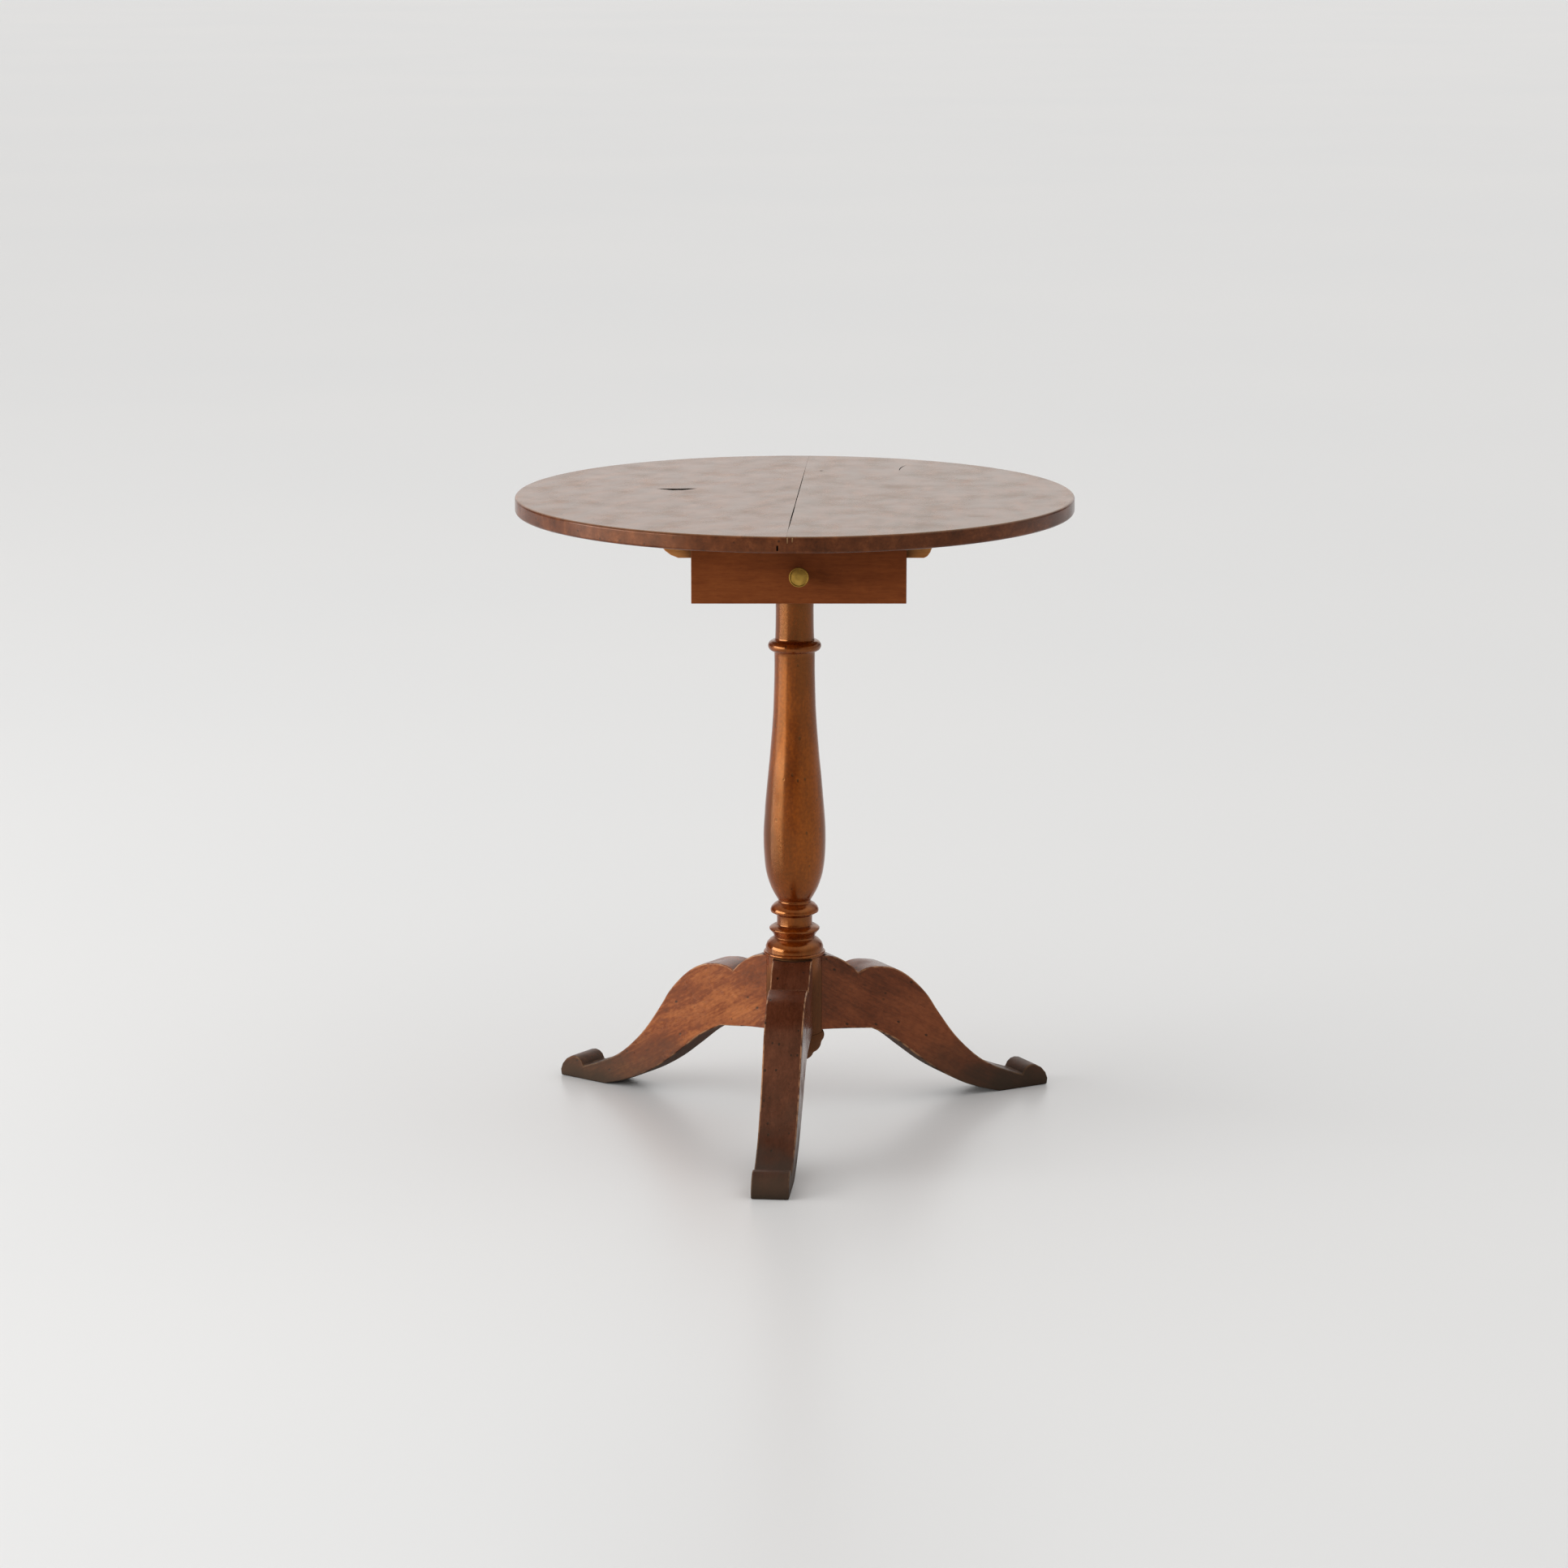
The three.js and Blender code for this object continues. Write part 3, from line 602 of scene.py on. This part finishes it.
ALONG_X = (1, 0, 0)
ALONG_Y = (0, 1, 0)
ALONG_Z = (0, 0, 1)
LEFT_GRAIN = (0.4, 0.92, 0)
RIGHT_GRAIN = (0.04, 1, 0)
TOP_LOOK = {
    "contrast": 0.85,
    "drift": 55.0,
    "broad": 0.5,
    "streaks": 0.2,
    "flecks": 0.2,
    "fibres": 0.05,
    "pores": 0.5,
    "roughness": 0.22,
    "roughest": 0.45,
    "sheen": 0.5,
    "varnish": colour(1.0, 0.55, 0.35),
    "relief": 0.00003,
    "wear": 0.1,
    "soil": 0.4,
}
LEFT_PALETTE = shades((0.046, 0.012, 0.005), (0.115, 0.032, 0.011), (0.23, 0.076, 0.027))
LEFT_TOP = wood(
    "left_top", "top_wood", LEFT_GRAIN, LEFT_PALETTE, seed=0.3, holes=0.7, faded=0.4, **TOP_LOOK
)
RIGHT_PALETTE = shades((0.033, 0.009, 0.0035), (0.095, 0.025, 0.0085), (0.205, 0.064, 0.0215))
RIGHT_TOP = wood(
    "right_top", "top_wood", RIGHT_GRAIN, RIGHT_PALETTE, seed=1.3, faded=0.44, **TOP_LOOK
)
COLUMN_PALETTE = shades((0.05, 0.006, 0.001), (0.12, 0.018, 0.001), (0.24, 0.048, 0.003))
COLUMN = wood(
    "column", "column_wood", ALONG_Z, COLUMN_PALETTE, seed=2.1,
    contrast=1.3, broad=0.5, streaks=0.2, flecks=0.25, fibres=0.05, fleck_shape=0.8, pores=0.2,
    roughness=0.13, roughest=0.5, sheen=1.0, varnish=colour(1.0, 0.42, 0.14), ior=1.7,
    # The column is darker below the hub's top: painted shade between the legs.
    relief=0.00012, holes=0.8, soil=0.9, dirt=(0.17, 0.195, 0.75), dirt_dulls=1.3,
)
LEG_PALETTES = {
    "left": shades((0.08, 0.016, 0.006), (0.19, 0.042, 0.012), (0.39, 0.12, 0.034)),
    "right": shades((0.07, 0.016, 0.007), (0.16, 0.038, 0.014), (0.25, 0.067, 0.024)),
    "front": shades((0.06, 0.015, 0.006), (0.1, 0.028, 0.013), (0.15, 0.045, 0.021)),
}
LEG_LOOK = {
    "contrast": 1.5,
    "broad": 0.5,
    "streaks": 0.2,
    "flecks": 0.2,
    "fibres": 0.1,
    "fleck_shape": 0.5,
    "pores": 0.3,
    "roughness": 0.2,
    "sheen": 0.4,
    "relief": 0.00015,
    "holes": 0.8,
    "wear": 0.9,
    "soil": 0.9,
    # The undersides are raw and painted in shade; the feet are darker with dirt and painted shade.
    "raw_and_shaded_below": 0.8,
    "dirt": (0.02, 0.07, 0.95),
}
DRAWER_PALETTE = shades((0.13, 0.03, 0.008), (0.2, 0.05, 0.013), (0.27, 0.075, 0.02))
# The drawer front is painted darkest in its corners, as shade under the top's rim.
DRAWER_FACE = wood(
    "drawer_face", "drawer_wood", ALONG_X, DRAWER_PALETTE, seed=3.2,
    pores=0.3, sheen=0.15, relief=0.0001, soil=1.0, wear=0.1,
)
BATTEN_PALETTE = shades((0.3, 0.1, 0.022), (0.55, 0.22, 0.06), (0.68, 0.33, 0.11))
BATTEN = wood("batten", "batten_wood", ALONG_X, BATTEN_PALETTE, seed=4.4)
INNER_PALETTE = shades((0.14, 0.062, 0.022), (0.27, 0.13, 0.05), (0.38, 0.2, 0.09))
INNER_X = wood("inner_x", "case_wood", ALONG_X, INNER_PALETTE, seed=5.1, roughness=0.62)
INNER_Y = wood("inner_y", "case_wood", ALONG_Y, INNER_PALETTE, seed=6.7, roughness=0.62)
BRASS = metal(
    "brass", "brass", colour(0.45, 0.27, 0.055), colour(0.22, 0.12, 0.025), gloss=0.3, tarnish=0.7
)
IRON = metal(
    "iron", "iron", colour(0.13, 0.12, 0.11), colour(0.05, 0.025, 0.015), gloss=0.45, tarnish=0.9
)


# ---- Column and finial ----

SPIGOT_HOLE = 0.0095  # rings nearer the axis belong to the hole for the finial's spigot
TURNED_EASE = 0.0007
COLUMN_SEGMENTS = 112
COLUMN_UNEVEN = 0.0004
FINIAL_SEGMENTS = 80
FINIAL_UNEVEN = 0.0003
# The grooves for the legs: how far out root and mouth are, half their widths, and the upper end.
DOVETAIL_ROOT = 0.0197
DOVETAIL_MOUTH = 0.036
DOVETAIL_WIDE = 0.0128
DOVETAIL_NARROW = 0.0093
DOVETAIL_TOP = 0.1843


def foot_direction(side):
    """From the column's axis to a foot, from the record's mounts."""
    mount = next(m for m in RECORD["mounts"] if m["name"] == "foot_" + side)
    place = Vector(mount["pos_m"])
    return Vector((place.x, place.y, 0)).normalized()


def dovetail_groove(direction, foot):
    """The groove that a leg slides up into, widest at its root."""
    across = Vector((-direction.y, direction.x, 0))
    corners = [
        direction * run + across * side
        for run, side in (
            (DOVETAIL_ROOT, -DOVETAIL_WIDE),
            (DOVETAIL_MOUTH, -DOVETAIL_NARROW),
            (DOVETAIL_MOUTH, DOVETAIL_NARROW),
            (DOVETAIL_ROOT, DOVETAIL_WIDE),
        )
    ]
    return prism([corner.xy for corner in corners], foot - OVERCUT, DOVETAIL_TOP)


def add_column():
    """The column, with the grooves that the legs slide up into."""
    rings = with_eased_corners(rings_of("column", ON_FRAME_AXIS, SPIGOT_HOLE), TURNED_EASE)
    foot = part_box("column")[0].z
    grooves = [dovetail_groove(foot_direction(side), foot) for side in LEGS]
    shaft = turned(rings, COLUMN_SEGMENTS, ON_FRAME_AXIS, COLUMN_UNEVEN)
    add_piece("column", carved(shaft, grooves), COLUMN)


def add_finial():
    """The turned drop under the column."""
    rings = with_eased_corners(rings_of("drop_finial", ON_FRAME_AXIS), TURNED_EASE)
    finial = turned(rings, FINIAL_SEGMENTS, ON_FRAME_AXIS, FINIAL_UNEVEN)
    add_piece("drop_finial", finial, COLUMN)


# ---- Legs ----

LEG_EASE = 0.0016
LEG_FALL = 0.55  # how far a leg's grain falls for each metre it runs outwards
LEG_SEED = 7.0
SCRIBED_RADIUS = 0.036  # the edges nearer the axis fit the hub, and stay crisp


def beyond_hub(edge):
    return min(v.co.xy.length for v in edge.verts) > SCRIBED_RADIUS


def add_leg(side):
    """A sawn leg whose grain follows its fall."""
    name = "leg_" + side
    grain = foot_direction(side) - Vector((0, 0, LEG_FALL))
    seed = LEG_SEED + LEGS.index(side)
    finish = wood(name, "leg_wood", grain, LEG_PALETTES[side], seed, **LEG_LOOK)
    bm = with_whole_faces(name)
    ease_edges(bm, LEG_EASE, beyond_hub)
    add_piece(name, mesh_of(bm), finish)


# ---- Top ----

TOP_SEGMENTS = 256
RIM_ROUND = 0.003
RIM_STEPS = 6
JOINT_X = 0.004
JOINT_LEAN = math.radians(-2.5)
JOINT_HALF_GAP = 0.00006
JOINT_EASE = 0.0003

# Gouges in the top: start, end, half the width, how far the middle bows aside, and the depth.
SPLIT = ((-0.166, 0.041), (-0.106, 0.044), 0.0085, -0.009, 0.009)
BACK_CRACK = ((0.1236, 0.182), (0.1359, 0.245), 0.0009, 0.003, 0.004)
BACK_NICK = ((0.029, 0.188), (0.035, 0.190), 0.0022, 0.0, 0.003)
# Where the joint gapes: from and to along it, and half the width. The depth is the same for both.
GAPES = ((-0.323, 0.323, 0.0006), (-0.321, -0.02, 0.0009))
GAPE_DEPTH = 0.004
GOUGE_FOOT = 0.6  # how wide a gouge is at its bottom, as a share of its mouth
LENS_STEPS = 8
LENS_RAGGED = 0.35  # how unevenly the sides of a gouge run
LENS_BITES = 9  # how often they swerve
LENS_VARIETY = 50  # sets apart the sides of gouges that start at different places
# Marks in the front of the rim: how far across, half the width, the depth, how far below the top
# they start and end, and what shows in them.
RIM_SLOT = (-0.0196, 0.001, 0.004, 0.0155, 0.0095, "hollow")
RIM_CHIPS = (
    (-0.0088, 0.0006, 0.0012, 0.007, 0.001, "fresh"),
    (-0.0034, 0.0006, 0.0012, 0.0058, 0.001, "fresh"),
)


def rim_rings(radius, low, high):
    """The rounded edge of the top, from its underside up."""
    rings = []
    for foot, start in ((low + RIM_ROUND, -90), (high - RIM_ROUND, 0)):
        for step in range(RIM_STEPS + 1):
            angle = math.radians(start + 90 * step / RIM_STEPS)
            inset = RIM_ROUND * (1 - math.cos(angle))
            rings.append((radius - inset, foot + RIM_ROUND * math.sin(angle)))
    return rings


def half_of(disc, side):
    """One board of the top: the disc up to the joint, with the joint's upper edge eased."""
    bm = bmesh.new()
    bm.from_mesh(disc)
    sign = 1 if side == "left" else -1
    across = Matrix.Rotation(JOINT_LEAN, 3, "Z") @ Vector((sign, 0, 0))
    joint = Vector((JOINT_X, 0, 0)) - across * JOINT_HALF_GAP
    geometry = [*bm.verts, *bm.edges, *bm.faces]
    cut = bmesh.ops.bisect_plane(
        bm, geom=geometry, plane_co=joint, plane_no=across, clear_outer=True
    )
    outline = [edge for edge in cut["geom_cut"] if isinstance(edge, bmesh.types.BMEdge)]
    bmesh.ops.edgeloop_fill(bm, edges=outline)
    top = max(vert.co.z for vert in bm.verts) - WELD
    on_joint = set(outline)

    def is_upper(edge):
        return edge in on_joint and min(v.co.z for v in edge.verts) > top

    ease_edges(bm, JOINT_EASE, is_upper)
    return mesh_of(bm)


def lens(start, end, half_width, sway):
    """A pointed outline from start to end that bows sideways in the middle."""
    start, end = Vector(start), Vector(end)
    along = end - start
    across = Vector((-along.y, along.x)).normalized()
    sides = []
    for sign in (1, -1):
        row = []
        for step in range(LENS_STEPS + 1):
            share = step / LENS_STEPS
            swell = math.sin(math.pi * share)
            uneven = noise.noise(Vector((share * LENS_BITES, sign, start.x * LENS_VARIETY)))
            offset = sway * swell + sign * half_width * swell * (1 + LENS_RAGGED * uneven)
            row.append(start + along * share + across * offset)
        sides.append(row)
    return sides[0] + sides[1][-2:0:-1]


def gouge(top, start, end, half_width, sway, depth):
    """A cutter for a crack in the top; its inside is marked to be painted near-black as shade."""
    outline = lens(start, end, half_width, sway)
    return prism(outline, top - depth, top + depth, GOUGE_FOOT, "hollow")


def joint_gapes(top):
    """Cutters for the stretches of the joint that stand open."""
    lean = math.tan(-JOINT_LEAN)

    def on_joint(y):
        return JOINT_X + lean * y, y

    return [
        gouge(top, on_joint(start), on_joint(end), half_width, 0.0, GAPE_DEPTH)
        for start, end, half_width in GAPES
    ]


def rim_mark(corner, x, half_width, depth, start, end, mark):
    """A cutter for a slit in the front of the rim; corner holds the top's half sides and height."""
    front = -corner.y * math.sqrt(1 - (x / corner.x) ** 2)
    outline = box_outline((x - half_width, front - OVERCUT), (x + half_width, front + depth))
    return prism(outline, corner.z - start, corner.z - end, mark=mark)


def add_top():
    """A disc in two boards, with what age has done to each."""
    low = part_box("top_board_left")[0]
    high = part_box("top_board_right")[1]
    stretch = Matrix.Diagonal((1, high.y / high.x, 1, 1))
    disc = turned(rim_rings(high.x, low.z, high.z), TOP_SEGMENTS, stretch)
    left_marks = [gouge(high.z, *SPLIT), *joint_gapes(high.z), rim_mark(high, *RIM_SLOT)]
    right_marks = [
        gouge(high.z, *BACK_CRACK),
        gouge(high.z, *BACK_NICK),
        *joint_gapes(high.z),
        *(rim_mark(high, *chip) for chip in RIM_CHIPS),
    ]
    add_piece("top_board_left", carved(half_of(disc, "left"), left_marks), LEFT_TOP)
    add_piece("top_board_right", carved(half_of(disc, "right"), right_marks), RIGHT_TOP)


# ---- Sawn boards ----

# Each sawn piece: how far its edges are eased, and its finish.
BOARDS = {
    "batten_front": (0.0012, BATTEN),
    "batten_rear": (0.0012, BATTEN),
    "cap_plate": (0.0015, INNER_X),
    "case_bottom": (0.0008, INNER_Y),
    "case_side_left": (0.0008, INNER_Y),
    "case_side_right": (0.0008, INNER_Y),
    "case_back": (0.0006, INNER_X),
    "tilt_block": (0.001, INNER_Y),
    "latch_spacer": (0.0006, BATTEN),
    "turn_button": (0.001, BATTEN),
    "tenon_wedge": (0.0002, BATTEN),
    "drawer_front": (0.0007, DRAWER_FACE),
    "drawer_side_left": (0.0006, INNER_Y),
    "drawer_side_right": (0.0006, INNER_Y),
    "drawer_back": (0.0006, INNER_X),
    "drawer_bottom": (0.0003, INNER_X),
    "knob_nut": (0.0003, IRON),
}
SHORTEST_EASED = 0.0035  # the facets round a screw hole are shorter, and stay crisp


def add_boards():
    """Every piece that was sawn from a board, and the knob's nut."""
    for node, (ease, finish) in BOARDS.items():
        bm = with_whole_faces(node)
        ease_edges(bm, ease, lambda edge: edge.calc_length() > SHORTEST_EASED)
        add_piece(node, mesh_of(bm), finish)


# ---- Metal pieces ----

SCREW_SEGMENTS = 32
SCREW_EASE = 0.0003
SCREW_TIP = 0.0002
SCREW_SLOT_REACH = 0.006  # past the head on both sides
SCREW_SLOT_HALF = 0.0005
SCREW_SLOT_DEPTH = 0.0012
SCREW_TURN = 1.1  # radians from each screw's slot to the next one's

# Each piece turned about a level axis: how far its edges are eased, its segments and its finish.
TURNED_METAL = {
    "knob": (0.0004, 96, BRASS),
    "pivot_pin_front": (0.0008, 48, IRON),
    "pivot_pin_rear": (0.0008, 48, IRON),
}


def add_screw(node, turn):
    """A countersunk screw with a slot across its head."""
    low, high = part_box(node)
    to_row = lathe_frame(node, UPRIGHT)
    rings = rings_of(node, to_row, ON_AXIS)
    head_down = rings[0][0] > rings[-1][0]
    if head_down:
        rings = [*rings, (SCREW_TIP, high.z)]
        slot_ends = (low.z - OVERCUT, low.z + SCREW_SLOT_DEPTH)
    else:
        rings = [(SCREW_TIP, low.z), *rings]
        slot_ends = (high.z - SCREW_SLOT_DEPTH, high.z + OVERCUT)
    middle = ((low + high) / 2).xy
    reach = Vector((SCREW_SLOT_REACH, SCREW_SLOT_HALF))
    slot = prism(box_outline(middle - reach, middle + reach, turn), *slot_ends)
    screw = turned(with_eased_corners(rings, SCREW_EASE), SCREW_SEGMENTS, to_row)
    add_piece(node, carved(screw, [slot]), IRON)


def add_metal():
    """The screws, the knob and the pins that the top turns on."""
    for i, node in enumerate(sorted(n for n in BODY_OF if "_screw_" in n)):
        add_screw(node, SCREW_TURN * i)
    for node, (ease, segments, finish) in TURNED_METAL.items():
        to_row = lathe_frame(node, LAID_FORWARD)
        rings = with_eased_corners(rings_of(node, to_row, ON_AXIS), ease)
        add_piece(node, turned(rings, segments, to_row), finish)


# ---- Stage ----

CAMERA_PLACE = (-0.0123, -5.117, 1.482)
CAMERA_PITCH = math.radians(11.94)
CAMERA_LENS = 103.38
FLOOR_REACH = 90.0
FLOOR_DROP = 0.0003  # keeps the floor clear of the soles
FLOOR_CLOUDS = 0.6
FLOOR_DARKER = colour(0.78, 0.785, 0.785)
FLOOR_PALER = colour(0.8, 0.8, 0.795)
FLOOR_ROUGHNESS = 0.3
FLOOR_SHEEN = 0.2
WINDOW_PLACE = (-5.9, -1.7, 1.5)
WINDOW_AIM = (0, 0, 0.45)
WINDOW_SIZE = (6.3, 2.4)
WINDOW_POWER = 355
# Broad pale surfaces of the room: which way they lie, how wide they spread and how bright they are.
# The spread is the cosine to the direction at the outer and at the inner edge of the soft border.
ROOM = (
    ((0, 1, 0.2), 0.8, 0.95, 0.95),
    ((0.96, -0.25, 0.1), 0.35, 0.8, 0.42),
    ((0, 0, 1), 0.1, 0.8, 0.76),
)
ROOM_SHADE = 0.035
ROOM_LIGHT = colour(1.0, 0.99, 0.98)


def add_camera():
    data = bpy.data.cameras.new("camera")
    data.lens = CAMERA_LENS
    camera = bpy.data.objects.new("camera", data)
    camera.location = CAMERA_PLACE
    camera.rotation_euler = (math.radians(90) - CAMERA_PITCH, 0, 0)
    bpy.context.scene.collection.objects.link(camera)
    bpy.context.scene.camera = camera


def floor_finish():
    """A pale, faintly clouded and slightly glossy floor."""
    material = bpy.data.materials.new("floor")
    s = Shader(material)
    cloud = s.noise(s.node("TexCoord", "Object"), FLOOR_CLOUDS)
    s.finish("BsdfPrincipled", {
        "Base Color": s.ramp(cloud, (0.3, FLOOR_DARKER), (0.7, FLOOR_PALER)),
        "Roughness": FLOOR_ROUGHNESS,
        "Specular IOR Level": FLOOR_SHEEN,
    })
    return material


def add_floor():
    bm = bmesh.new()
    bmesh.ops.create_grid(bm, x_segments=1, y_segments=1, size=FLOOR_REACH)
    floor = bpy.data.objects.new("floor", mesh_of(bm))
    floor.data.materials.append(floor_finish())
    bpy.context.scene.collection.objects.link(floor)
    floor.location.z = -FLOOR_DROP


def add_window():
    """The one large soft light, beside the table on its left."""
    data = bpy.data.lights.new("window", "AREA")
    data.shape = "RECTANGLE"
    data.size, data.size_y = WINDOW_SIZE
    data.energy = WINDOW_POWER
    light = bpy.data.objects.new("window", data)
    light.location = WINDOW_PLACE
    inwards = Vector(WINDOW_AIM) - Vector(WINDOW_PLACE)
    light.rotation_euler = inwards.to_track_quat("-Z", "Y").to_euler()
    bpy.context.scene.collection.objects.link(light)


def add_world():
    """A pale room around the table that is dark behind the camera."""
    world = bpy.data.worlds.new("room")
    s = Shader(world)
    towards = s.node("TexCoord", "Generated")
    total = ROOM_SHADE
    for direction, outer, inner, strength in ROOM:
        facing = s.vector_math("DOT_PRODUCT", towards, Vector(direction).normalized(), "Value")
        total = s.math("ADD", s.between(facing, outer, inner, 0.0, strength), total)
    s.finish("Background", {"Color": ROOM_LIGHT, "Strength": total}, "OutputWorld")
    bpy.context.scene.world = world


add_camera()
add_floor()
add_world()
add_window()
bpy.context.scene.view_settings.view_transform = "Standard"
add_column()
add_finial()
for leg in LEGS:
    add_leg(leg)
add_top()
add_boards()
add_metal()
